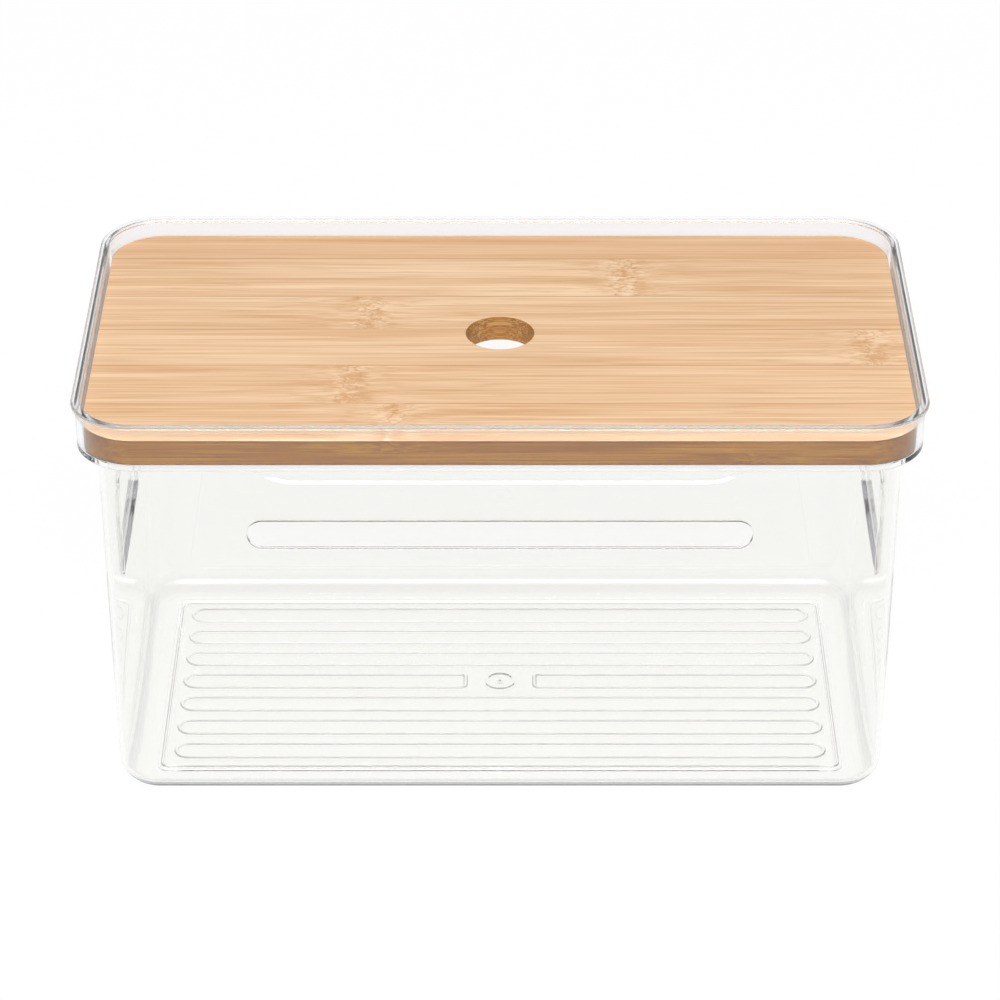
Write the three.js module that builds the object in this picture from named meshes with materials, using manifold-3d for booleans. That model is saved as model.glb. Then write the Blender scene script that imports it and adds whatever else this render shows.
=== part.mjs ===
// Clear storage box with a lift-off bamboo lid, in millimetres, +Z up.
// The origin is under the middle of the box, on the surface that it stands on.
// The box is one clear moulding. The lid is a board glued up from two layers of bamboo strips,
// and it drops into a collar round the mouth and rests on the ledge there.
import * as THREE from "three";
import { mergeVertices } from "three/addons/utils/BufferGeometryUtils.js";
import Module from "manifold-3d";

const wasm = await Module();
wasm.setup();

// Lid board
const BOARD_LENGTH = 294.8;
const BOARD_WIDTH = 157;
const LAYER_THICKNESS = 4.85;
const BOARD_CORNER = 19;
const BOARD_EDGE_BREAK = 0.8;
const FINGER_HOLE = 25;
const HOLE_EDGE_BREAK = 0.8;
// Glued joints of each layer, measured across the board from its middle line
const FACE_JOINTS = [-52.6, -24.7, 2.7, 28.5, 59.1];
const BACK_JOINTS = [-60.5, -32.5, -4.5, 23.5, 51.5];

// Box walls and rim
const BOX_HEIGHT = 162;
const WALL = 2;
const DRAFT_DEGREES = 0.55;
const BODY_CORNER = 17.5;
const BASE_FILLET = 9;
const LID_CLEARANCE = 0.6;
const LID_RECESS = 6.5;
const LEDGE_STEP = 6.7;
const LEDGE_TAPER = 2;
const LEDGE_FILLET = 1.1;
const LIP_REACH = 1.4;
const LIP_THICKNESS = 2;
const RIM_EDGE_BREAK = 0.5;

// Slot through the front wall, and the shallow grip recess under the ledge above it
const SLOT_LENGTH = 180;
const SLOT_HEIGHT = 11;
const SLOT_BELOW_LEDGE = 29.4;
const RECESS_LENGTH = 182;
const RECESS_FLAT = 141;
const RECESS_DROP = 8.3;
const RECESS_DEPTH = 0.65;
const RECESS_SLOPE = 0.95;

// Finger grip moulded outwards in each short wall
const GRIP_WIDTH = 70;
const GRIP_SHELF = 71.7;
const GRIP_HEIGHT = 42;
const GRIP_PROUD = 2.2;
const GRIP_SHOULDER = 6;

// Floor: a panel raised off the table inside a standing rim, with loops of raised bead on it
// and the moulding gate's dome in the middle
const PANEL_RISE = 1;
const PANEL_INSET = 13.6;
const PANEL_CORNER = 4;
const LOOP_COUNT = 7;
const LOOP_PITCH = 15.7;
const LOOP_WIDTH = 10.5;
const LOOP_END_GAP = 5.8;
const BEAD_WIDTH = 1.6;
const BEAD_RISE = 0.45;
const GATE_GAP = 25;
const GATE_DOME = 12;
const GATE_RISE = 1;

// Facets and the depth that a joined form is sunk so that it fuses
const CORNER_STEPS = 8;
const FILLET_STEPS = 5;
const HOLE_STEPS = 32;
const SINK = 0.5;

// Heights and half sizes that follow from the sizes above
const BOARD_THICKNESS = 2 * LAYER_THICKNESS;
const BOARD_BOTTOM = BOX_HEIGHT - LID_RECESS - BOARD_THICKNESS;
const BOARD_MIDDLE = BOARD_BOTTOM + LAYER_THICKNESS;
const BOARD_TOP = BOARD_BOTTOM + BOARD_THICKNESS;
const LEDGE_TOP = BOARD_BOTTOM;
const LEDGE_UNDER = LEDGE_TOP - WALL;
const LEDGE_FOOT = LEDGE_UNDER - LEDGE_TAPER;
const COLLAR_INSIDE = {
  length: BOARD_LENGTH / 2 + LID_CLEARANCE,
  width: BOARD_WIDTH / 2 + LID_CLEARANCE,
  corner: BOARD_CORNER + LID_CLEARANCE,
};
const BODY_MOUTH = {
  length: COLLAR_INSIDE.length - LEDGE_STEP + WALL,
  width: COLLAR_INSIDE.width - LEDGE_STEP + WALL,
  corner: BODY_CORNER,
};
const PANEL_TOP = WALL + PANEL_RISE;
const SLOT_MIDDLE = LEDGE_UNDER - SLOT_BELOW_LEDGE;

// A rounded rectangle grown outwards by an offset, or inwards by a negative one
function grown(outline, offset) {
  return {
    length: outline.length + offset,
    width: outline.width + offset,
    corner: outline.corner + offset,
  };
}

// Outside of the tapered body at a height
function bodyAt(z) {
  const taper = Math.tan(THREE.MathUtils.degToRad(DRAFT_DEGREES));
  return grown(BODY_MOUTH, (z - LEDGE_UNDER) * taper);
}

// One level of a loft: the points of a rounded rectangle, anticlockwise from above
function level(outline, z) {
  const points = [];
  const quarters = [[1, 1], [-1, 1], [-1, -1], [1, -1]];
  quarters.forEach(([sideX, sideY], quarter) => {
    for (let step = 0; step <= CORNER_STEPS; step += 1) {
      const angle = (quarter + step / CORNER_STEPS) * Math.PI / 2;
      const x = sideX * (outline.length - outline.corner) + outline.corner * Math.cos(angle);
      const y = sideY * (outline.width - outline.corner) + outline.corner * Math.sin(angle);
      points.push(new THREE.Vector3(x, y, z));
    }
  });
  return points;
}

// Closed skin through a row of levels, capped flat at its first and last
function loft(levels) {
  const around = levels[0].length;
  const points = levels.flat();
  const index = [];
  for (let row = 0; row + 1 < levels.length; row += 1) {
    for (let step = 0; step < around; step += 1) {
      const next = (step + 1) % around;
      const low = row * around;
      const high = low + around;
      index.push(low + step, low + next, high + next, low + step, high + next, high + step);
    }
  }
  const last = (levels.length - 1) * around;
  for (let step = 1; step + 1 < around; step += 1) {
    index.push(0, step + 1, step);
    index.push(last, last + step, last + step + 1);
  }
  const geometry = new THREE.BufferGeometry().setFromPoints(points);
  geometry.setIndex(index);
  return geometry;
}

// Solid for cutting and joining
function solid(geometry) {
  const bare = geometry.clone();
  bare.deleteAttribute("normal");
  bare.deleteAttribute("uv");
  const merged = mergeVertices(bare, 1e-4);
  return new wasm.Manifold(new wasm.Mesh({
    numProp: 3,
    vertProperties: Float32Array.from(merged.attributes.position.array),
    triVerts: Uint32Array.from(merged.index.array),
  }));
}

function geometryOf(body) {
  const mesh = body.getMesh();
  const geometry = new THREE.BufferGeometry();
  geometry.setAttribute("position", new THREE.BufferAttribute(mesh.vertProperties, 3));
  geometry.setIndex(new THREE.BufferAttribute(mesh.triVerts, 1));
  geometry.computeVertexNormals();
  return geometry;
}

// Flat outline pulled up from one height to another, with both rims bevelled by the same break
function pulledUp(shape, bottom, top, edgeBreak) {
  const geometry = new THREE.ExtrudeGeometry(shape, {
    depth: top - bottom - 2 * edgeBreak,
    curveSegments: CORNER_STEPS,
    bevelEnabled: edgeBreak > 0,
    bevelThickness: edgeBreak,
    bevelSize: edgeBreak,
    bevelOffset: -edgeBreak,
    bevelSegments: 1,
  });
  return geometry.translate(0, 0, bottom + edgeBreak);
}

// Outline drawn upright, x across and z up, and pulled towards the back
function pulledBack(shape, front, back) {
  const settings = { depth: back - front, curveSegments: CORNER_STEPS, bevelEnabled: false };
  const geometry = new THREE.ExtrudeGeometry(shape, settings);
  return geometry.rotateX(Math.PI / 2).translate(0, back, 0);
}

function roundedRectangle(length, width, corner) {
  const x = length / 2;
  const y = width / 2;
  const shape = new THREE.Shape();
  shape.moveTo(x, corner - y);
  shape.absarc(x - corner, y - corner, corner, 0, Math.PI / 2);
  shape.absarc(corner - x, y - corner, corner, Math.PI / 2, Math.PI);
  shape.absarc(corner - x, corner - y, corner, Math.PI, 1.5 * Math.PI);
  shape.absarc(x - corner, corner - y, corner, 1.5 * Math.PI, 2 * Math.PI);
  return shape;
}

// Bar with full round ends, about a middle point
function obround(length, width, middleX, middleY) {
  const radius = width / 2;
  const reach = length / 2 - radius;
  const shape = new THREE.Shape();
  shape.moveTo(middleX - reach, middleY - radius);
  shape.absarc(middleX + reach, middleY, radius, -Math.PI / 2, Math.PI / 2);
  shape.absarc(middleX - reach, middleY, radius, Math.PI / 2, 1.5 * Math.PI);
  return shape;
}

// Half of the middle loop: round at its outer end and square where it stops short of the gate
function halfLoop(length, gap, width, side) {
  const radius = width / 2;
  const end = length / 2 - radius;
  const shape = new THREE.Shape();
  shape.moveTo(gap / 2, -radius);
  shape.absarc(end, 0, radius, -Math.PI / 2, Math.PI / 2);
  shape.lineTo(gap / 2, radius);
  if (side > 0) {
    return shape;
  }
  const mirrored = shape.getPoints(CORNER_STEPS).map((point) => new THREE.Vector2(-point.x, point.y));
  return new THREE.Shape(mirrored.reverse());
}

// Skin of the moulding: up the outside, over the lip, down the collar, in along the ledge, down inside
function shellLevels() {
  const collarOutside = grown(COLLAR_INSIDE, WALL);
  const lipRound = LIP_THICKNESS / 2;
  const lipMiddle = BOX_HEIGHT - lipRound;
  const insideFillet = BASE_FILLET - WALL;
  const levels = [];
  for (let step = 0; step <= FILLET_STEPS; step += 1) {
    const angle = (step / FILLET_STEPS) * Math.PI / 2;
    const z = BASE_FILLET * (1 - Math.cos(angle));
    levels.push(level(grown(bodyAt(z), BASE_FILLET * (Math.sin(angle) - 1)), z));
  }
  levels.push(level(bodyAt(LEDGE_FOOT), LEDGE_FOOT));
  for (let step = 0; step <= FILLET_STEPS; step += 1) {
    const angle = (step / FILLET_STEPS) * Math.PI / 2;
    const inset = LEDGE_FILLET * (Math.sin(angle) - 1);
    levels.push(level(grown(collarOutside, inset), LEDGE_UNDER + LEDGE_FILLET * (1 - Math.cos(angle))));
  }
  levels.push(level(collarOutside, BOX_HEIGHT - LIP_THICKNESS));
  for (let step = 0; step <= FILLET_STEPS; step += 1) {
    const angle = (step / FILLET_STEPS - 0.5) * Math.PI;
    const reach = LIP_REACH - lipRound + lipRound * Math.cos(angle);
    levels.push(level(grown(collarOutside, reach), lipMiddle + lipRound * Math.sin(angle)));
  }
  levels.push(level(grown(COLLAR_INSIDE, RIM_EDGE_BREAK), BOX_HEIGHT));
  levels.push(level(COLLAR_INSIDE, BOX_HEIGHT - RIM_EDGE_BREAK));
  levels.push(level(COLLAR_INSIDE, LEDGE_TOP));
  levels.push(level(grown(bodyAt(LEDGE_TOP), -WALL), LEDGE_TOP));
  for (let step = FILLET_STEPS; step >= 0; step -= 1) {
    const angle = (step / FILLET_STEPS) * Math.PI / 2;
    const z = WALL + insideFillet * (1 - Math.cos(angle));
    levels.push(level(grown(bodyAt(z), insideFillet * (Math.sin(angle) - 1) - WALL), z));
  }
  return levels;
}

// Side view of the grip in one short wall: a flat shelf below, an upright face, a sloping shoulder
function gripProfile(side, inset) {
  const root = bodyAt(GRIP_SHELF).length - WALL - SINK;
  const face = bodyAt(GRIP_SHELF).length + GRIP_PROUD - inset;
  const shelf = GRIP_SHELF + inset;
  const top = GRIP_SHELF + GRIP_HEIGHT - inset;
  const outline = [[root, shelf], [face, shelf], [face, top - GRIP_SHOULDER], [root, top]];
  const points = outline.map(([x, z]) => new THREE.Vector2(side * x, z));
  return new THREE.Shape(side > 0 ? points : points.reverse());
}

function grip(side, inset) {
  const reach = GRIP_WIDTH / 2 - inset;
  return solid(pulledBack(gripProfile(side, inset), -reach, reach));
}

// Grip recess in the front wall: a level foot and ends that sweep up to the ledge, with a sloping edge
function gripRecess() {
  const top = LEDGE_FOOT + RECESS_SLOPE;
  const foot = LEDGE_UNDER - RECESS_DROP;
  const ends = RECESS_LENGTH / 2;
  const flat = RECESS_FLAT / 2;
  const bend = (ends - flat) / 2;
  const shape = new THREE.Shape();
  shape.moveTo(-flat, foot);
  shape.lineTo(flat, foot);
  shape.bezierCurveTo(flat + bend, foot, ends - bend, LEDGE_FOOT, ends, LEDGE_FOOT);
  shape.lineTo(ends, top);
  shape.lineTo(-ends, top);
  shape.lineTo(-ends, LEDGE_FOOT);
  shape.bezierCurveTo(bend - ends, LEDGE_FOOT, -flat - bend, foot, -flat, foot);
  const form = new THREE.ExtrudeGeometry(shape, {
    depth: WALL,
    curveSegments: CORNER_STEPS,
    bevelThickness: RECESS_DEPTH,
    bevelSize: RECESS_SLOPE,
    bevelOffset: -RECESS_SLOPE / 2,
    bevelSegments: 1,
  });
  form.rotateX(Math.PI / 2).translate(0, -bodyAt(foot).width, 0);
  return solid(form).trimByPlane([0, 0, -1], -LEDGE_FOOT);
}

function frontSlot() {
  const front = -bodyAt(SLOT_MIDDLE).width;
  return solid(pulledBack(obround(SLOT_LENGTH, SLOT_HEIGHT, 0, SLOT_MIDDLE), front - WALL, front + 2 * WALL));
}

// Floor panel: raised by the same step inside and underneath, so that the floor keeps its thickness
function floorPanel(inset, bottom, top) {
  const foot = grown(bodyAt(0), -inset);
  return solid(pulledUp(roundedRectangle(2 * foot.length, 2 * foot.width, PANEL_CORNER), bottom, top, 0));
}

// Raised bead between an outline and the same outline one bead width further in
function bead(outer, inner) {
  const top = PANEL_TOP + BEAD_RISE;
  const pad = solid(pulledUp(outer, PANEL_TOP - SINK, top, 0));
  return pad.subtract(solid(pulledUp(inner, PANEL_TOP - 2 * SINK, top + SINK, 0)));
}

function floorLoops() {
  const length = 2 * (bodyAt(0).length - PANEL_INSET - LOOP_END_GAP);
  const innerLength = length - 2 * BEAD_WIDTH;
  const innerWidth = LOOP_WIDTH - 2 * BEAD_WIDTH;
  const innerGap = GATE_GAP + 2 * BEAD_WIDTH;
  const loops = [];
  for (let row = 0; row < LOOP_COUNT; row += 1) {
    const y = (row - (LOOP_COUNT - 1) / 2) * LOOP_PITCH;
    if (y === 0) {
      [-1, 1].forEach((side) => {
        const outer = halfLoop(length, GATE_GAP, LOOP_WIDTH, side);
        loops.push(bead(outer, halfLoop(innerLength, innerGap, innerWidth, side)));
      });
    } else {
      loops.push(bead(obround(length, LOOP_WIDTH, 0, y), obround(innerLength, innerWidth, 0, y)));
    }
  }
  return loops;
}

// Low dome left by the moulding gate, a slice of a ball
function gateDome() {
  const half = GATE_DOME / 2;
  const ball = (half * half + GATE_RISE * GATE_RISE) / (2 * GATE_RISE);
  const profile = [new THREE.Vector2(0, -SINK), new THREE.Vector2(half, -SINK)];
  for (let step = 0; step <= FILLET_STEPS; step += 1) {
    const angle = Math.asin(half / ball) * (1 - step / FILLET_STEPS);
    profile.push(new THREE.Vector2(ball * Math.sin(angle), ball * Math.cos(angle) - ball + GATE_RISE));
  }
  const dome = new THREE.LatheGeometry(profile, HOLE_STEPS).rotateX(Math.PI / 2);
  return solid(dome.translate(0, 0, PANEL_TOP));
}

function clearBox() {
  let body = solid(loft(shellLevels()));
  [-1, 1].forEach((side) => {
    body = body.add(grip(side, 0)).subtract(grip(side, WALL));
  });
  body = body.subtract(gripRecess()).subtract(frontSlot());
  body = body.add(floorPanel(PANEL_INSET, WALL - SINK, PANEL_TOP));
  body = body.subtract(floorPanel(PANEL_INSET + WALL, -WALL, PANEL_RISE));
  [...floorLoops(), gateDome()].forEach((form) => {
    body = body.add(form);
  });
  return body;
}

// Finger hole with both of its rims broken
function fingerHole() {
  const radius = FINGER_HOLE / 2;
  const wide = radius + HOLE_EDGE_BREAK + SINK;
  const bottom = BOARD_BOTTOM - SINK;
  const top = BOARD_TOP + SINK;
  const profile = [
    new THREE.Vector2(0, bottom),
    new THREE.Vector2(wide, bottom),
    new THREE.Vector2(radius, BOARD_BOTTOM + HOLE_EDGE_BREAK),
    new THREE.Vector2(radius, BOARD_TOP - HOLE_EDGE_BREAK),
    new THREE.Vector2(wide, top),
    new THREE.Vector2(0, top),
  ];
  return solid(new THREE.LatheGeometry(profile, HOLE_STEPS).rotateX(Math.PI / 2));
}

function lidBoard() {
  const outline = roundedRectangle(BOARD_LENGTH, BOARD_WIDTH, BOARD_CORNER);
  return solid(pulledUp(outline, BOARD_BOTTOM, BOARD_TOP, BOARD_EDGE_BREAK)).subtract(fingerHole());
}

// One layer's strips, sawn from the board at its joints, front to back
function strips(board, joints, bottom) {
  const edges = [-BOARD_WIDTH / 2, ...joints, BOARD_WIDTH / 2];
  return edges.slice(1).map((back, row) => {
    const front = edges[row];
    const blank = new THREE.BoxGeometry(BOARD_LENGTH, back - front, LAYER_THICKNESS);
    blank.translate(0, (front + back) / 2, bottom + LAYER_THICKNESS / 2);
    return board.intersect(solid(blank));
  });
}

const clearPlastic = new THREE.MeshStandardMaterial({
  color: 0xf5f4f0,
  roughness: 0.08,
  metalness: 0,
  transparent: true,
  opacity: 0.3,
});
const bamboo = new THREE.MeshStandardMaterial({ color: 0xecc59c, roughness: 0.5, metalness: 0 });

function named(name, body, material) {
  const mesh = new THREE.Mesh(geometryOf(body), material);
  mesh.name = name;
  return mesh;
}

const board = lidBoard();
const lid = new THREE.Group();
strips(board, FACE_JOINTS, BOARD_MIDDLE).forEach((strip, row) => {
  lid.add(named(`lid_face_strip_${row + 1}`, strip, bamboo));
});
strips(board, BACK_JOINTS, BOARD_BOTTOM).forEach((strip, row) => {
  lid.add(named(`lid_back_strip_${row + 1}`, strip, bamboo));
});

const storageBox = new THREE.Group();
storageBox.add(named("clear_box", clearBox(), clearPlastic));
storageBox.add(lid);

export default storageBox;
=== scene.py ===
"""Clear storage box with a lift-off bamboo lid, dressed on its CAD frame. Metres, +Z up."""

import math

import bmesh
import bpy
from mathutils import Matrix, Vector


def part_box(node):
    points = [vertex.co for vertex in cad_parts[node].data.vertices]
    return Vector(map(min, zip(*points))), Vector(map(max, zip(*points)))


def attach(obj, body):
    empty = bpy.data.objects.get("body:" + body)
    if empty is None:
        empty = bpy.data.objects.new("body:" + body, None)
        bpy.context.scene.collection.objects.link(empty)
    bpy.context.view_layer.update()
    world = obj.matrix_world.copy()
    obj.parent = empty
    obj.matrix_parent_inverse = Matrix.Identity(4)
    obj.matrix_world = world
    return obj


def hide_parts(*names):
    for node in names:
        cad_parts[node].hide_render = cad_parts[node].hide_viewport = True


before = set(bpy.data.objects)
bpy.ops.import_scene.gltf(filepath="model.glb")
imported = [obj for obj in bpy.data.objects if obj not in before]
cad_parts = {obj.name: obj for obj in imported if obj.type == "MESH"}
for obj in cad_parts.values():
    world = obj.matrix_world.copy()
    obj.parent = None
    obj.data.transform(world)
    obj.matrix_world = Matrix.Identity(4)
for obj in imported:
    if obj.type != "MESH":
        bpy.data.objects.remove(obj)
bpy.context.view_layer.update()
scene = bpy.context.scene
MM = 0.001

# Sizes read from the frame
BOX_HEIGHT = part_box("clear_box")[1].z
FACE_STRIPS = [f"lid_face_strip_{row}" for row in range(1, 7)]
BACK_STRIPS = [f"lid_back_strip_{row}" for row in range(1, 7)]
BOARD_LOW = Vector(min(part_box(name)[0][axis] for name in FACE_STRIPS + BACK_STRIPS) for axis in range(3))
BOARD_HIGH = Vector(max(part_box(name)[1][axis] for name in FACE_STRIPS + BACK_STRIPS) for axis in range(3))

# Sizes of the moulding that its outer box doesn't give
WALL = 2 * MM
LIP_REACH = 1.4 * MM
LIP_THICKNESS = 2 * MM
LID_CLEARANCE = 0.6 * MM
BOARD_CORNER = 19 * MM
BODY_CORNER = 17.5 * MM
LEDGE_STEP = 6.7 * MM
LEDGE_TAPER = 2 * MM
LEDGE_FILLET = 1.1 * MM
INNER_FILLET = 0.9 * MM
BASE_FILLET = 9 * MM
DRAFT = math.tan(math.radians(0.55))
SLOT_LENGTH = 180 * MM
SLOT_HEIGHT = 11 * MM
SLOT_BELOW_LEDGE = 30.1 * MM
RECESS_LENGTH = 177.5 * MM
RECESS_FLAT = 144 * MM
RECESS_DROP = 8.3 * MM
RECESS_DEPTH = 0.65 * MM
RECESS_SLOPE = 0.95 * MM
GRIP_WIDTH = 70 * MM
GRIP_SHELF = 71.7 * MM
GRIP_HEIGHT = 42 * MM
GRIP_PROUD = 2.2 * MM
GRIP_SHOULDER = 6 * MM
GRIP_CORNER = 3 * MM
PANEL_RISE = 1 * MM
PANEL_INSET = 13.6 * MM
PANEL_CORNER = 4 * MM
PANEL_SLOPE = 0.5 * MM
LOOP_COUNT = 7
LOOP_PITCH = 15.7 * MM
LOOP_WIDTH = 10.5 * MM
LOOP_END_GAP = 5.8 * MM
BEAD_WIDTH = 1.6 * MM
BEAD_RISE = 0.55 * MM
BEAD_SLOPE = 0.365 * MM
BEAD_FOOT = 0.15 * MM
FRAME_WIDTH = 1.9 * MM
FRAME_INSET = 0.85 * MM
EDGE_ROUND = 0.4 * MM
GATE_GAP = 25 * MM
GATE_RADIUS = 6 * MM
GATE_RIM = 0.4 * MM
GATE_NUB = 0.9 * MM

# Share of a sloping side that its steep foot takes
STEEP = 0.1

# How far a form reaches into another that it joins or cuts
SINK = 0.5 * MM

# Sizes of the board's edges
HOLE_RADIUS = 12.5 * MM
BOARD_ROUND = 0.25 * MM

# Fineness of the round stretches
CORNER_STEPS = 20
FILLET_STEPS = 8
GRIP_STEPS = 6
SMALL_STEPS = 4
SWEEP_STEPS = 16
GATE_STEPS = 30
SMOOTH_ANGLE = math.radians(32)

# Photograph's camera
CAMERA_PLACE = (0, -1226.9 * MM, 818.9 * MM)
CAMERA_TILT = math.radians(90 - 30.92)
CAMERA_LENS = 136.84
CAMERA_SENSOR = 36

LEDGE_TOP = BOARD_LOW.z
LEDGE_UNDER = LEDGE_TOP - WALL
LEDGE_FOOT = LEDGE_UNDER - LEDGE_TAPER
PANEL_TOP = WALL + PANEL_RISE


def grey(level):
    return (level, level, level, 1)


def linear(red, green, blue):
    """Scene-linear colour of an sRGB colour written from 0 to 255."""
    channels = []
    for value in (red, green, blue):
        share = value / 255
        channels.append(share / 12.92 if share <= 0.04045 else ((share + 0.055) / 1.055) ** 2.4)
    return (*channels, 1)


# Shader maths


class Value:
    """A socket in a material. Arithmetic on it adds Math nodes."""

    def __init__(self, finish, socket):
        self.finish = finish
        self.socket = socket

    def math(self, operation, *others):
        return self.finish.node("ShaderNodeMath", {"operation": operation}, dict(enumerate((self, *others))))

    def after(self, operation, first):
        return self.finish.node("ShaderNodeMath", {"operation": operation}, {0: first, 1: self})

    def __add__(self, other):
        return self.math("ADD", other)

    def __radd__(self, other):
        return self.after("ADD", other)

    def __sub__(self, other):
        return self.math("SUBTRACT", other)

    def __rsub__(self, other):
        return self.after("SUBTRACT", other)

    def __mul__(self, other):
        return self.math("MULTIPLY", other)

    def __rmul__(self, other):
        return self.after("MULTIPLY", other)

    def __truediv__(self, other):
        return self.math("DIVIDE", other)

    def __rtruediv__(self, other):
        return self.after("DIVIDE", other)

    def __abs__(self):
        return self.math("ABSOLUTE")

    def clamped(self):
        return self.math("MINIMUM", 1).math("MAXIMUM", 0)

    def rises(self, low, high):
        """0 below low, 1 above high, smooth between."""
        return self.finish.node(
            "ShaderNodeMapRange",
            {"interpolation_type": "SMOOTHSTEP"},
            {"Value": self, "From Min": low, "From Max": high},
        )


class Finish:
    """A material or world and the nodes that make it."""

    def __init__(self, owner):
        self.owner = owner
        owner.use_nodes = True
        self.tree = owner.node_tree
        self.tree.nodes.clear()

    def node(self, kind, settings=None, inputs=None, output=0):
        node = self.tree.nodes.new(kind)
        for name, setting in (settings or {}).items():
            setattr(node, name, setting)
        for key, value in (inputs or {}).items():
            if isinstance(value, Value):
                self.tree.links.new(value.socket, node.inputs[key])
            else:
                node.inputs[key].default_value = value
        if not node.outputs:
            return node
        return Value(self, node.outputs[output])

    def place(self):
        """Point on the surface in metres, in the frame that every piece shares."""
        return self.node("ShaderNodeTexCoord", output="Object")

    def split(self, vector):
        separate = self.node("ShaderNodeSeparateXYZ", inputs={0: vector}).socket.node
        return [Value(self, output) for output in separate.outputs]

    def joined(self, x, y, z):
        return self.node("ShaderNodeCombineXYZ", inputs={0: x, 1: y, 2: z})

    def noise(self, vector, scale, detail=2, roughness=0.5):
        inputs = {"Vector": vector, "Scale": scale, "Detail": detail, "Roughness": roughness}
        return self.node("ShaderNodeTexNoise", inputs=inputs)

    def mix(self, share, first, second, blend="MIX"):
        settings = {"data_type": "RGBA", "blend_type": blend}
        return self.node("ShaderNodeMix", settings, {0: share, 6: first, 7: second}, output=2)

    def bump(self, height, strength, distance):
        inputs = {"Height": height, "Strength": strength, "Distance": distance}
        return self.node("ShaderNodeBump", inputs=inputs)

    def surface(self, shader):
        self.node("ShaderNodeOutputMaterial", inputs={"Surface": shader})


# Outlines and lofts


class Outline:
    """A rectangle with round corners, whose radius may differ at its two ends."""

    def __init__(self, length, width, corner, end_corner=None, middle=(0, 0)):
        self.length = length
        self.width = width
        self.corner = corner
        self.end_corner = corner if end_corner is None else end_corner
        self.middle = middle

    def grown(self, offset):
        return Outline(
            self.length + offset,
            self.width + offset,
            max(self.corner + offset, 0),
            max(self.end_corner + offset, 0),
            self.middle,
        )

    def points(self):
        """Anticlockwise, from the right-hand end. Length and width are half sizes."""
        found = []
        for quarter, (side_x, side_y) in enumerate(((1, 1), (-1, 1), (-1, -1), (1, -1))):
            radius = self.corner if side_x > 0 else self.end_corner
            for step in range(CORNER_STEPS + 1):
                angle = (quarter + step / CORNER_STEPS) * math.pi / 2
                x = side_x * (self.length - radius) + radius * math.cos(angle)
                y = side_y * (self.width - radius) + radius * math.sin(angle)
                found.append((self.middle[0] + x, self.middle[1] + y))
        return found


def arc(radius, steps, start, end):
    """Offsets along a round edge between two angles in degrees."""
    for step in range(steps + 1):
        angle = math.radians(start + (end - start) * step / steps)
        yield radius * math.cos(angle), radius * math.sin(angle)


def loft(levels, turn=None, capped=True):
    """Closed mesh through (outline, height) levels, capped at both ends or joined end to end."""
    shape = bmesh.new()
    rings = []
    for outline, height in levels:
        points = [Vector((x, y, height)) for x, y in outline.points()]
        if turn:
            points = [turn(point) for point in points]
        rings.append([shape.verts.new(point) for point in points])
    around = len(rings[0])
    pairs = list(zip(rings, rings[1:]))
    if capped:
        shape.faces.new(reversed(rings[0]))
        shape.faces.new(rings[-1])
    else:
        pairs.append((rings[-1], rings[0]))
    for low, high in pairs:
        for step in range(around):
            following = (step + 1) % around
            shape.faces.new((low[step], low[following], high[following], high[step]))
    bmesh.ops.remove_doubles(shape, verts=shape.verts, dist=1e-7)
    bmesh.ops.recalc_face_normals(shape, faces=shape.faces)
    mesh = bpy.data.meshes.new("loft")
    shape.to_mesh(mesh)
    shape.free()
    return mesh


def prism(points, front, back):
    """Upright outline of (x, z) points, pulled from front to back."""
    shape = bmesh.new()
    near = [shape.verts.new((x, front, z)) for x, z in points]
    far = [shape.verts.new((x, back, z)) for x, z in points]
    count = len(points)
    for step in range(count):
        following = (step + 1) % count
        shape.faces.new((near[step], near[following], far[following], far[step]))
    shape.faces.new(reversed(near))
    shape.faces.new(far)
    bmesh.ops.recalc_face_normals(shape, faces=shape.faces)
    mesh = bpy.data.meshes.new("prism")
    shape.to_mesh(mesh)
    shape.free()
    return mesh


def baked(made):
    """Mesh of an object with its modifiers applied; the object goes."""
    bpy.context.view_layer.update()
    mesh = bpy.data.meshes.new_from_object(made.evaluated_get(bpy.context.evaluated_depsgraph_get()))
    bpy.data.objects.remove(made)
    return mesh


def placed(mesh, name):
    made = bpy.data.objects.new(name, mesh)
    scene.collection.objects.link(made)
    return made


def combined(mesh, form, operation):
    """Two meshes joined, cut or intersected."""
    base = placed(mesh, "base")
    tool = placed(form, "tool")
    step = base.modifiers.new("combine", "BOOLEAN")
    step.object = tool
    step.operation = operation
    step.solver = "EXACT"
    result = baked(base)
    bpy.data.objects.remove(tool)
    return result


def finished(mesh, name):
    """Piece with normals that keep its flats flat."""
    mesh.shade_smooth()
    mesh.set_sharp_from_angle(angle=SMOOTH_ANGLE)
    made = placed(mesh, name)
    normals = made.modifiers.new("normals", "WEIGHTED_NORMAL")
    normals.keep_sharp = True
    return placed(baked(made), name)


# Clear moulding

COLLAR_INSIDE = Outline(
    BOARD_HIGH.x + LID_CLEARANCE,
    BOARD_HIGH.y + LID_CLEARANCE,
    BOARD_CORNER + LID_CLEARANCE,
)
COLLAR_OUTSIDE = COLLAR_INSIDE.grown(WALL)


def body_at(height):
    """Outside of the tapered walls at a height."""
    offset = WALL - LEDGE_STEP
    mouth = Outline(COLLAR_INSIDE.length + offset, COLLAR_INSIDE.width + offset, BODY_CORNER)
    return mouth.grown((height - LEDGE_UNDER) * DRAFT)


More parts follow.
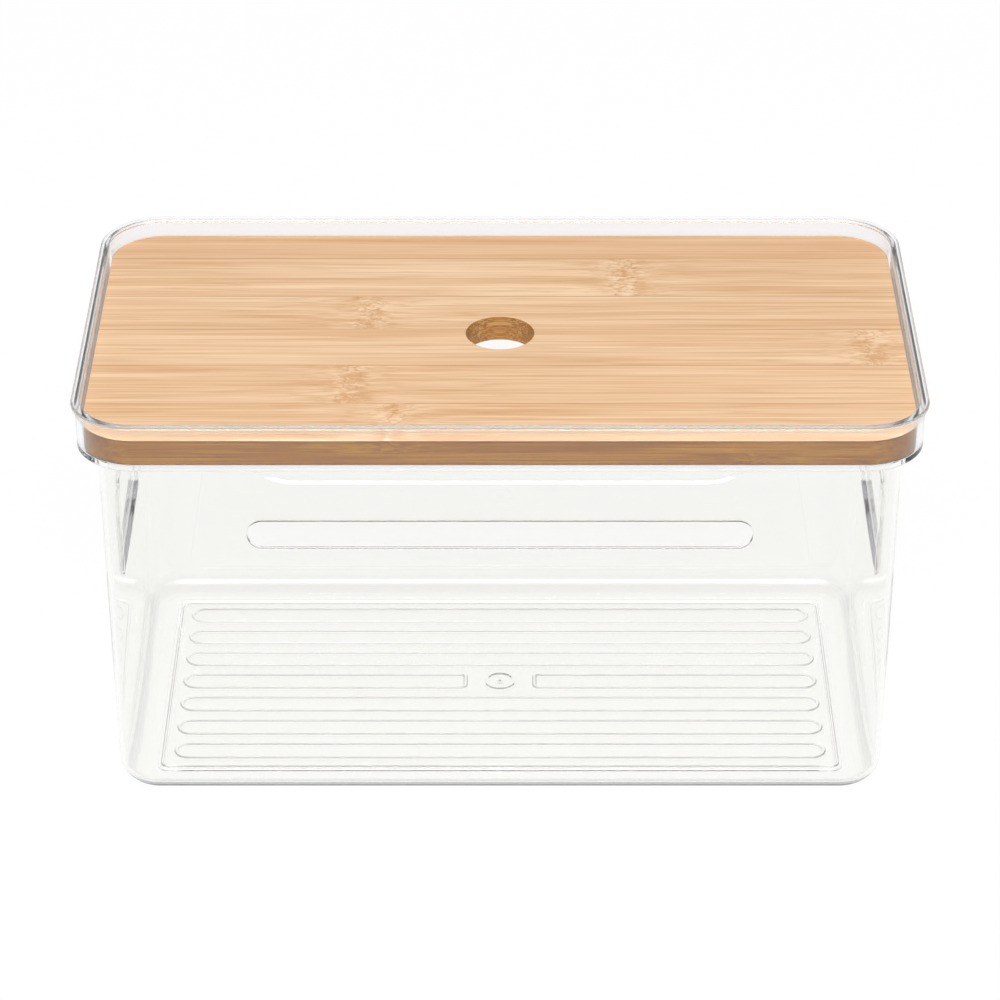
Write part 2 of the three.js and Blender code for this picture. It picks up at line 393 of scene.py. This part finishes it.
def shell_levels():
    """Up the outside, over the lip, down the collar, in along the ledge and down the inside."""
    lip_round = LIP_THICKNESS / 2
    lip_middle = BOX_HEIGHT - lip_round
    inside_fillet = BASE_FILLET - WALL
    seat_inside = body_at(LEDGE_TOP).grown(-WALL)
    for out, up in arc(BASE_FILLET, FILLET_STEPS, -90, 0):
        height = BASE_FILLET + up
        yield body_at(height).grown(out - BASE_FILLET), height
    yield body_at(LEDGE_FOOT), LEDGE_FOOT
    for out, up in arc(LEDGE_FILLET, SMALL_STEPS, -90, 0):
        yield COLLAR_OUTSIDE.grown(out - LEDGE_FILLET), LEDGE_UNDER + LEDGE_FILLET + up
    yield COLLAR_OUTSIDE, BOX_HEIGHT - LIP_THICKNESS
    for out, up in arc(lip_round, FILLET_STEPS, -90, 90):
        yield COLLAR_OUTSIDE.grown(LIP_REACH - lip_round + out), lip_middle + up
    for out, up in arc(EDGE_ROUND, SMALL_STEPS, 90, 180):
        yield COLLAR_INSIDE.grown(EDGE_ROUND + out), BOX_HEIGHT - EDGE_ROUND + up
    for out, up in arc(EDGE_ROUND, SMALL_STEPS, 0, -90):
        yield COLLAR_INSIDE.grown(out - EDGE_ROUND), LEDGE_TOP + EDGE_ROUND + up
    for out, up in arc(INNER_FILLET, SMALL_STEPS, 90, 180):
        yield seat_inside.grown(INNER_FILLET + out), LEDGE_TOP - INNER_FILLET + up
    for out, up in arc(inside_fillet, FILLET_STEPS, 0, -90):
        height = BASE_FILLET + up
        yield body_at(height).grown(out - inside_fillet - WALL), height


def flared(outline, low, high, radius):
    """Levels of a cut between two faces with flared ends, so that both rims come out rounded."""
    levels = []
    for height, side in ((low, -1), (high, 1)):
        rim = [(outline.grown(radius - out), height - side * (radius - up))
               for out, up in arc(radius, SMALL_STEPS, 0, 90)]
        rim.append((outline.grown(radius), height + side * SINK))
        levels += rim[::side]
    return levels


def rounded_pad(outline, bottom, top, radius):
    """Raised pad with a rounded upper edge."""
    levels = [(outline, bottom)]
    for out, up in arc(radius, SMALL_STEPS, 0, 90):
        levels.append((outline.grown(out - radius), top - radius + up))
    return loft(levels)


def grip_form(side, inset):
    """Finger grip in a short wall: a flat shelf below, an upright face and a sloping shoulder."""
    root = body_at(GRIP_SHELF).length - WALL - SINK
    face = body_at(GRIP_SHELF).length + GRIP_PROUD - inset
    reach = GRIP_WIDTH / 2 - inset
    shelf = GRIP_SHELF + inset
    round_edge = max(GRIP_CORNER - inset, EDGE_ROUND)
    levels = []
    stations = [(root, 0)]
    for out, up in arc(round_edge, GRIP_STEPS, 0, 90):
        stations.append((face - round_edge + up, round_edge - out))
    for depth, drawn_in in stations:
        slope = GRIP_SHOULDER * (depth - root) / (face - root)
        top = GRIP_SHELF + GRIP_HEIGHT - inset - slope - drawn_in
        bottom = shelf + drawn_in * EDGE_ROUND / round_edge
        outline = Outline((top - bottom) / 2, reach - drawn_in, round_edge, middle=((top + bottom) / 2, 0))
        levels.append((outline, depth))
    return loft(levels, turn=lambda point: Vector((side * point.z, point.y, point.x)))


def bezier(start, first, second, end, steps):
    for step in range(steps + 1):
        t = step / steps
        weights = ((1 - t) ** 3, 3 * t * (1 - t) ** 2, 3 * t * t * (1 - t), t ** 3)
        yield tuple(
            sum(weight * point[axis] for weight, point in zip(weights, (start, first, second, end)))
            for axis in range(2)
        )


class SweptOutline:
    """Upright outline under the front wall's ledge: a level foot, with ends that sweep up to the top."""

    def __init__(self, margin, top):
        self.margin = margin
        self.top = top

    def points(self):
        foot = LEDGE_UNDER - RECESS_DROP - self.margin
        ends = RECESS_LENGTH / 2 + self.margin
        flat = RECESS_FLAT / 2
        third = (ends - flat) / 3
        risen = foot + (self.top - foot) / 3
        curve = (flat, foot), (flat + third, foot), (ends - third, risen), (ends, self.top)
        right = list(bezier(*curve, SWEEP_STEPS))
        return right + [(-x, z) for x, z in reversed(right)]


def upright(point):
    """Stands a loft's outline up, with the loft's height running back from the front."""
    return Vector((point.x, point.z, point.y))


def grip_recess():
    """Cut for the recess under the ledge, with an edge that slopes in towards the back."""
    wall = -body_at(LEDGE_UNDER - RECESS_DROP).width
    levels = []
    for depth, margin in ((-RECESS_DEPTH, 1.5 * RECESS_SLOPE), (RECESS_DEPTH, -0.5 * RECESS_SLOPE)):
        levels.append((SweptOutline(margin, LEDGE_FOOT), wall + depth))
    return loft(levels, turn=upright)


def front_slot():
    middle = LEDGE_UNDER - SLOT_BELOW_LEDGE
    front = -body_at(middle).width
    outline = Outline(SLOT_LENGTH / 2, SLOT_HEIGHT / 2, SLOT_HEIGHT / 2, middle=(0, middle))
    return loft(flared(outline, front, front + WALL, EDGE_ROUND), turn=upright)


def bead(outline, width):
    """Low bead that runs round an outline on the floor panel, with sides that start steep and then slope."""
    inner = outline.grown(-width)
    sides = [(0, -SINK), (0, 0), (STEEP * BEAD_SLOPE, BEAD_FOOT), (BEAD_SLOPE, BEAD_RISE)]
    levels = [(outline.grown(-drawn_in), PANEL_TOP + up) for drawn_in, up in sides]
    levels += [(inner.grown(drawn_in), PANEL_TOP + up) for drawn_in, up in reversed(sides)]
    return loft(levels, capped=False)


def panel_outline():
    return Outline(body_at(0).length - PANEL_INSET, body_at(0).width - PANEL_INSET, PANEL_CORNER)


def floor_forms():
    """Bead loops, the bead round them and the moulding gate's mark that stand on the floor panel."""
    length = body_at(0).length - PANEL_INSET - LOOP_END_GAP
    end = LOOP_WIDTH / 2
    for row in range(LOOP_COUNT):
        y = (row - (LOOP_COUNT - 1) / 2) * LOOP_PITCH
        if y:
            yield bead(Outline(length, end, end, middle=(0, y)), BEAD_WIDTH)
            continue
        half = (length - GATE_GAP / 2) / 2
        for side in (-1, 1):
            corners = (end, 1.5 * BEAD_WIDTH)[::side]
            yield bead(Outline(half, end, *corners, middle=(side * (GATE_GAP / 2 + half), 0)), BEAD_WIDTH)
    yield bead(panel_outline().grown(-PANEL_SLOPE - FRAME_INSET), FRAME_WIDTH)
    yield gate_mark()


def gate_mark():
    """Round mark of the moulding gate: a low rim with a nub in its middle."""
    levels = [(Outline(GATE_RADIUS, GATE_RADIUS, GATE_RADIUS), PANEL_TOP - SINK)]
    for step in range(GATE_STEPS):
        out = GATE_RADIUS * (1 - step / GATE_STEPS)
        rim = GATE_RIM * math.exp(-((out / GATE_RADIUS - 0.88) / 0.1) ** 2)
        nub = GATE_NUB * math.exp(-(out / GATE_RADIUS / 0.28) ** 2)
        levels.append((Outline(out, out, out), PANEL_TOP + rim + nub))
    return loft(levels)


def clear_box():
    mesh = loft(shell_levels())
    for side in (-1, 1):
        mesh = combined(mesh, grip_form(side, 0), "UNION")
        mesh = combined(mesh, grip_form(side, WALL), "DIFFERENCE")
    mesh = combined(mesh, grip_recess(), "DIFFERENCE")
    mesh = combined(mesh, front_slot(), "DIFFERENCE")
    foot = panel_outline()
    pad = [(foot, WALL - SINK), (foot, WALL), (foot.grown(-STEEP * PANEL_SLOPE), WALL + PANEL_RISE / 2)]
    pad.append((foot.grown(-PANEL_SLOPE), PANEL_TOP))
    mesh = combined(mesh, loft(pad), "UNION")
    recess = Outline(foot.length - WALL, foot.width - WALL, PANEL_CORNER)
    mesh = combined(mesh, rounded_pad(recess, -WALL, PANEL_RISE, EDGE_ROUND), "DIFFERENCE")
    for form in floor_forms():
        mesh = combined(mesh, form, "UNION")
    return finished(mesh, "clear_moulding")


# Roughness of the collar above the lid and of the beads' sides; the rest of the moulding is polished
LIP_FROST = 0.15
BEAD_FROST = 0.3

# Colours of the plastic, with painted shade on the collar, on the grips' shelves and where the foot curls
# under, and where the foot's dark line deepens towards the corners
CLEAR_TINTS = linear(250, 250, 248), linear(251, 251, 250)
COLLAR_SHADE_TINT = linear(248, 248, 250)
SHELF_SHADE_TINT = linear(118, 116, 124)
FOOT_SHADE_TINT = linear(42, 38, 40)
CORNER_SHADE_TINT = linear(28, 24, 26)
CORNER_REACH = 90 * MM, 118 * MM
CURL_TOP = 6 * MM, 8 * MM


def clear_plastic():
    """Clear moulded plastic with painted shade: a little on the collar, grey on the grips' shelves, and
    darkest where the foot curls under.
    """
    finish = Finish(bpy.data.materials.new("clear_plastic"))
    place = finish.place()
    x, _, height = finish.split(place)
    facing = finish.split(finish.node("ShaderNodeNewGeometry", output="True Normal"))[2]
    haze = finish.noise(place, 900, detail=3)
    tint = finish.mix(haze, *CLEAR_TINTS)
    # Painted shade: the collar above the ledge is tinted a little greyer
    tint = finish.mix(height.rises(LEDGE_UNDER, LEDGE_TOP), tint, COLLAR_SHADE_TINT)
    # Painted shade: the grips' shelves are tinted grey
    shelf = facing.rises(0.8, 0.95) * height.rises(GRIP_SHELF, GRIP_SHELF + WALL / 2)
    shelf = shelf * (1 - height.rises(GRIP_SHELF + 2 * WALL, GRIP_SHELF + 3 * WALL))
    tint = finish.mix(shelf, tint, SHELF_SHADE_TINT)
    # Painted shade: a dark line where the foot curls under the box, deepest towards the corners
    curl_shade = (0 - facing).rises(0.36, 0.54) * facing.rises(-0.97, -0.9) * (1 - height.rises(*CURL_TOP))
    dark = finish.mix(abs(x).rises(*CORNER_REACH), FOOT_SHADE_TINT, CORNER_SHADE_TINT)
    lip_frost = height.rises(BOARD_HIGH.z, BOARD_HIGH.z + WALL) * LIP_FROST
    bead_side = facing.rises(0.4, 0.5) * (1 - facing.rises(0.8, 0.9))
    bead_side = bead_side * height.rises(WALL, PANEL_TOP) * (1 - height.rises(2 * WALL, 3 * WALL))
    shader = finish.node("ShaderNodeBsdfPrincipled", inputs={
        "Base Color": finish.mix(curl_shade, tint, dark),
        "Roughness": lip_frost + bead_side * BEAD_FROST,
        "IOR": 1.55,
        "Transmission Weight": 1.0,
    })
    finish.surface(shader)
    return finish.owner


# Bamboo lid


def board_blank():
    """Whole board with rounded edges and the finger hole."""
    outline = Outline(BOARD_HIGH.x, BOARD_HIGH.y, BOARD_CORNER)
    levels = []
    for out, up in arc(BOARD_ROUND, SMALL_STEPS, -90, 0):
        levels.append((outline.grown(out - BOARD_ROUND), BOARD_LOW.z + BOARD_ROUND + up))
    for out, up in arc(BOARD_ROUND, SMALL_STEPS, 0, 90):
        levels.append((outline.grown(out - BOARD_ROUND), BOARD_HIGH.z - BOARD_ROUND + up))
    hole = Outline(HOLE_RADIUS, HOLE_RADIUS, HOLE_RADIUS)
    return combined(loft(levels), loft(flared(hole, BOARD_LOW.z, BOARD_HIGH.z, BOARD_ROUND)), "DIFFERENCE")


def slab(low, high):
    """Cutting block between two corners."""
    corners = [(low.x, low.z), (high.x, low.z), (high.x, high.z), (low.x, high.z)]
    return prism(corners, low.y, high.y)


# Colours of the bamboo; the cut-edge ones darken its upright sides, partly as the cut grain's own colour and
# partly as painted shade, and the one for the outer edge's arrises is painted shade
FIBRE_DARK = linear(217, 168, 121)
FIBRE_PALE = linear(247, 213, 174)
VEIN = linear(190, 136, 88)
PORE = linear(150, 100, 55)
RIPE = linear(214, 160, 112)
GLUE = linear(176, 122, 76)
ARRIS_SHADE = linear(70, 40, 18)
SAWN_HOLE_AND_SHADE = (0.68, 0.54, 0.31, 1)
SAWN_EDGE_AND_SHADE = (0.355, 0.235, 0.02, 1)

# Reach of a knuckle along its strip, how far it pushes the fibres aside, and the width of a glue line
KNUCKLE_REACH = 5.5 * MM
KNUCKLE_PUSH = 2.4 * MM
GLUE_WIDTH = 0.1 * MM, 0.6 * MM


def bamboo(name, tone, knuckle, seed, joints):
    """Sanded bamboo with its fibres along X, a knuckle across it where the stalk had one, and glue lines."""
    finish = Finish(bpy.data.materials.new(name))
    x, y, z = finish.split(finish.place())
    away = (x - knuckle) / KNUCKLE_REACH
    at_knuckle = 1 / (1 + away * away)
    core = at_knuckle.rises(0.25, 0.7)
    swirl = finish.noise(finish.joined(x * 260, y * 330, z + seed), 1, detail=2) - 0.5
    across = y + swirl * at_knuckle * KNUCKLE_PUSH
    run = x * 9 + away.math("ARCTANGENT") * 1.5 + seed
    wide = finish.noise(finish.joined(run * 0.6, across * 120, z * 120), 1, detail=1)
    fibre = finish.noise(finish.joined(run, across * 640, z * 640), 1, detail=3, roughness=0.62)
    hair = finish.noise(finish.joined(run * 1.7, across * 1900, z * 1900), 1, detail=2)
    vein = finish.noise(finish.joined(run * 0.8 + 7, across * 330, z * 330), 1, detail=2)
    line = (1 - abs(vein - 0.5) * 22).clamped()
    facing = finish.split(finish.node("ShaderNodeNewGeometry", output="Normal"))
    upright_side = (1 - abs(facing[2])).rises(0.05, 0.45)
    streak = (wide * 0.3 + fibre * 0.45 + hair * 0.25 - 0.5) * (4.4 + core * 2.2 + upright_side * 5) + 0.55
    colour = finish.mix(streak.clamped(), FIBRE_DARK, FIBRE_PALE)
    colour = finish.mix(line * (0.28 + core * 0.3 + upright_side * 0.4), colour, VEIN)
    pores = upright_side * (0.5 - hair).rises(0, 0.12) * 0.45
    colour = finish.mix(pores, colour, PORE)
    colour = finish.mix(tone, colour, RIPE)
    for joint in joints:
        glue = (1 - abs(y - joint).rises(*GLUE_WIDTH)) * wide.rises(0.3, 0.6)
        colour = finish.mix(glue * 0.6, colour, GLUE)
    rim = (x * x + y * y).rises((1.2 * HOLE_RADIUS) ** 2, (1.4 * HOLE_RADIUS) ** 2)
    # Partly painted shade: upright sides are multiplied darker, the rest is the cut grain's own colour
    sawn_and_shade = finish.mix(rim, SAWN_HOLE_AND_SHADE, SAWN_EDGE_AND_SHADE)
    colour = finish.mix(upright_side, colour, sawn_and_shade, blend="MULTIPLY")
    half = (BOARD_HIGH.z - BOARD_LOW.z) / 2
    # Painted shade: both arrises of the outer edge are darkened, the lower one as contact shade where the
    # board sits on the ledge
    arris_shade = upright_side * abs(z - BOARD_LOW.z - half).rises(half - 1.1 * MM, half - 0.2 * MM) * rim
    colour = finish.mix(arris_shade * 0.55, colour, ARRIS_SHADE)
    shader = finish.node("ShaderNodeBsdfPrincipled", inputs={
        "Base Color": colour,
        "Roughness": 0.42 + fibre * 0.16,
        "IOR": 1.45,
        "Normal": finish.bump(fibre + streak * core, 0.15, 0.0004),
    })
    finish.surface(shader)
    return finish.owner


# Where each strip's knuckle runs across it, and how dark the strip is, front to back
FACE_KNUCKLES = [-38 * MM, -54 * MM, 135 * MM, -48 * MM, 47 * MM, 400 * MM]
FACE_TONES = [0.12, 0.16, 0.12, 0.08, 0, 0.42]
BACK_KNUCKLES = [90 * MM, -110 * MM, 62 * MM, -95 * MM, 120 * MM, -30 * MM]
BACK_TONES = [0.2, 0.1, 0.16, 0.08, 0.14, 0.2]

# Where in the grain each layer's first strip starts, and how far on the next one does
FACE_SEED = 0
BACK_SEED = 5.4
SEED_STEP = 3.7


def lid():
    board = board_blank()
    face = (FACE_STRIPS, FACE_KNUCKLES, FACE_TONES, FACE_SEED)
    back = (BACK_STRIPS, BACK_KNUCKLES, BACK_TONES, BACK_SEED)
    for names, knuckles, tones, first_seed in (face, back):
        for row, node in enumerate(names):
            low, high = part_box(node)
            reach = Vector((SINK, 0, 0))
            mesh = combined(board.copy(), slab(low - reach, high + reach), "INTERSECT")
            strip = finished(mesh, node.replace("lid_", "bamboo_"))
            seed = first_seed + SEED_STEP * row
            joints = [edge for edge in (low.y, high.y) if BOARD_LOW.y < edge < BOARD_HIGH.y]
            strip.data.materials.append(bamboo(strip.name, tones[row], knuckles[row], seed, joints))
            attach(strip, "lid")
            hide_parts(node)


# Studio

# How often light may turn inside the plastic
BOUNCES = 48


def studio_floor():
    """Pale floor that reads as white, straight on and through the plastic, and keeps a soft shadow."""
    shape = bmesh.new()
    bmesh.ops.create_grid(shape, x_segments=1, y_segments=1, size=6)
    mesh = bpy.data.meshes.new("floor")
    shape.to_mesh(mesh)
    shape.free()
    floor = placed(mesh, "floor")
    finish = Finish(bpy.data.materials.new("floor"))
    plain = finish.node("ShaderNodeBsdfDiffuse", inputs={"Color": grey(0.8)})
    dim = finish.node("ShaderNodeBsdfDiffuse", inputs={"Color": grey(0.06)})
    glow = finish.node("ShaderNodeEmission", inputs={"Color": grey(1), "Strength": 0.95})
    lit = finish.node("ShaderNodeAddShader", inputs={0: dim, 1: glow})
    finish.surface(finish.node("ShaderNodeMixShader", inputs={0: seen_rays(finish), 1: plain, 2: lit}))
    mesh.materials.append(finish.owner)


def seen_rays(finish):
    """1 for rays that show the background: straight from the camera, mirrored or through the plastic."""
    path = finish.node("ShaderNodeLightPath").socket.node
    names = ("Is Camera Ray", "Is Glossy Ray", "Is Transmission Ray", "Diffuse Depth")
    camera, glossy, through, scattered = [Value(finish, path.outputs[name]) for name in names]
    return (camera + glossy + through - scattered).clamped()


def studio_world():
    """White behind the box, and greyer at the sides and the front where gloss and glass show them."""
    world = bpy.data.worlds.new("studio")
    scene.world = world
    finish = Finish(world)
    seen = seen_rays(finish)
    away = finish.split(finish.node("ShaderNodeTexCoord", output="Generated"))
    front = (0 - away[1]).rises(0.05, 0.7)
    side = abs(away[0]).rises(0.75, 0.97)
    overhead = away[2].rises(0.5, 0.95)
    straight = finish.node("ShaderNodeLightPath", output="Is Camera Ray")
    mirrored = 1 - (front * 0.45 + side * 0.3 + overhead * 0.1) * (1 - straight)
    level = seen * mirrored + (1 - seen) * 0.45
    background = finish.node("ShaderNodeBackground", inputs={"Color": grey(1), "Strength": level})
    finish.node("ShaderNodeOutputWorld", inputs={"Surface": background})


LAMP_WIDTH = 1.6
LAMP_TILT = math.radians(38)


def studio_lights():
    """Large soft lamp above and in front of the box, and a card before it that only gloss and glass show."""
    key = ("key", 27, 1.2, (0, -1.15, 1.45), False)
    card = ("card", 32, 0.5, (0, -1.278, 1.287), True)
    for name, energy, depth, place, glints in (key, card):
        lamp = bpy.data.lights.new(name, "AREA")
        lamp.shape = "RECTANGLE"
        lamp.size = LAMP_WIDTH
        lamp.size_y = depth
        lamp.energy = energy
        made = bpy.data.objects.new(name, lamp)
        made.location = place
        made.rotation_euler = (LAMP_TILT, 0, 0)
        made.visible_diffuse = not glints
        made.visible_glossy = glints
        made.visible_transmission = glints
        scene.collection.objects.link(made)


def photo_camera():
    lens = bpy.data.cameras.new("camera")
    lens.lens = CAMERA_LENS
    lens.sensor_width = CAMERA_SENSOR
    made = bpy.data.objects.new("camera", lens)
    made.location = CAMERA_PLACE
    made.rotation_euler = (CAMERA_TILT, 0, 0)
    scene.collection.objects.link(made)
    scene.camera = made


scene.view_settings.view_transform = "Standard"
scene.cycles.max_bounces = BOUNCES
scene.cycles.glossy_bounces = BOUNCES
scene.cycles.transmission_bounces = BOUNCES
photo_camera()
studio_floor()
studio_world()
studio_lights()
moulding = clear_box()
moulding.data.materials.append(clear_plastic())
# Clear plastic lets light through, so only the lid shades what lies below
moulding.visible_shadow = False
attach(moulding, "box")
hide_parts("clear_box")
lid()
